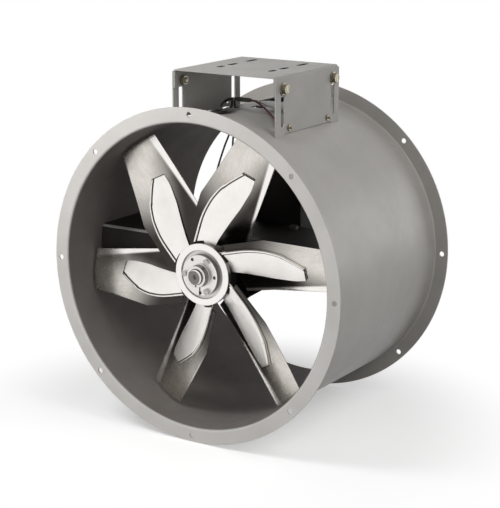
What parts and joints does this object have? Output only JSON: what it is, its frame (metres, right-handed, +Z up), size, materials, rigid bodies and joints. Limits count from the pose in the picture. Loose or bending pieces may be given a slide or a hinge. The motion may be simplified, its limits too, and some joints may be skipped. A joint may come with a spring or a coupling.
{
  "type": "tubeaxial fan",
  "caption": "Belt-driven tubeaxial duct fan: flanged round drum, bladed propeller on a bearing-held shaft, and a sliding motor base on top.",
  "frame": {"origin": "on the floor under the middle of the drum, which stands on the lowest flats of its two flanges", "axes": "+Y along the shaft from the propeller end to the drive end, +Z up through the motor base, +X to the right seen from the propeller end"},
  "size_m": [0.6864, 0.457, 0.7432],
  "materials": {
    "housing_paint": "grey baked enamel on spun and folded steel",
    "motor_frame_paint": "light grey baked enamel on folded steel",
    "propeller_metal": "bright mill aluminium",
    "machined_steel": "turned and ground steel",
    "zinc_plate": "zinc plated steel",
    "cast_iron": "painted grey iron casting",
    "rubber": "matt dark grey rubber",
    "black_nylon": "black nylon conduit",
    "red_nylon": "dark red nylon tubing",
    "natural_nylon": "natural nylon tubing"
  },
  "bodies": {
    "housing": {"housing_drum": "housing_paint", "bearing_support": "housing_paint", "belt_tunnel": "housing_paint", "motor_support_left": "motor_frame_paint", "motor_support_right": "motor_frame_paint", "bearing_housing_front": "cast_iron", "bearing_housing_rear": "cast_iron", "bearing_bolt_1": "zinc_plate", "bearing_bolt_2": "zinc_plate", "bearing_bolt_3": "zinc_plate", "bearing_bolt_4": "zinc_plate", "bearing_nut_1": "zinc_plate", "bearing_nut_2": "zinc_plate", "bearing_nut_3": "zinc_plate", "bearing_nut_4": "zinc_plate", "grommet": "rubber", "grease_line_front_inner": "black_nylon", "grease_line_rear_inner": "black_nylon", "grease_line_loom": "black_nylon", "grease_line_sleeve": "rubber", "grease_line_front_outer": "red_nylon", "grease_line_rear_outer": "natural_nylon", "grease_nipple_front": "zinc_plate", "grease_nipple_rear": "zinc_plate"},
    "propeller": {"fan_shaft": "machined_steel", "hub": "propeller_metal", "hub_bushing": "machined_steel", "bushing_screw_1": "zinc_plate", "bushing_screw_2": "zinc_plate", "bushing_screw_3": "zinc_plate", "hub_key": "machined_steel", "blade_1": "propeller_metal", "blade_2": "propeller_metal", "blade_3": "propeller_metal", "blade_4": "propeller_metal", "blade_5": "propeller_metal", "blade_6": "propeller_metal", "blade_arm_1": "propeller_metal", "blade_arm_2": "propeller_metal", "blade_arm_3": "propeller_metal", "blade_arm_4": "propeller_metal", "blade_arm_5": "propeller_metal", "blade_arm_6": "propeller_metal", "bearing_ring_front": "machined_steel", "bearing_ring_rear": "machined_steel", "driven_sheave": "cast_iron", "sheave_key": "machined_steel"},
    "motor_base": {"motor_base": "motor_frame_paint", "base_bolt_front_left": "zinc_plate", "base_bolt_rear_left": "zinc_plate", "base_bolt_front_right": "zinc_plate", "base_bolt_rear_right": "zinc_plate", "base_washer_front_left": "zinc_plate", "base_washer_rear_left": "zinc_plate", "base_washer_front_right": "zinc_plate", "base_washer_rear_right": "zinc_plate", "base_nut_front_left": "zinc_plate", "base_nut_rear_left": "zinc_plate", "base_nut_front_right": "zinc_plate", "base_nut_rear_right": "zinc_plate"}
  },
  "joints": [
    {"name": "propeller_spin", "type": "hinge", "parent": "housing", "child": "propeller", "pos_m": [0, -0.189, 0.34317], "axis": [0, 1, 0], "continuous": true},
    {"name": "belt_tension_slide", "type": "slide", "parent": "housing", "child": "motor_base", "axis": [0, 0, 1], "range_m": [-0.055, 0.001]}
  ]
}
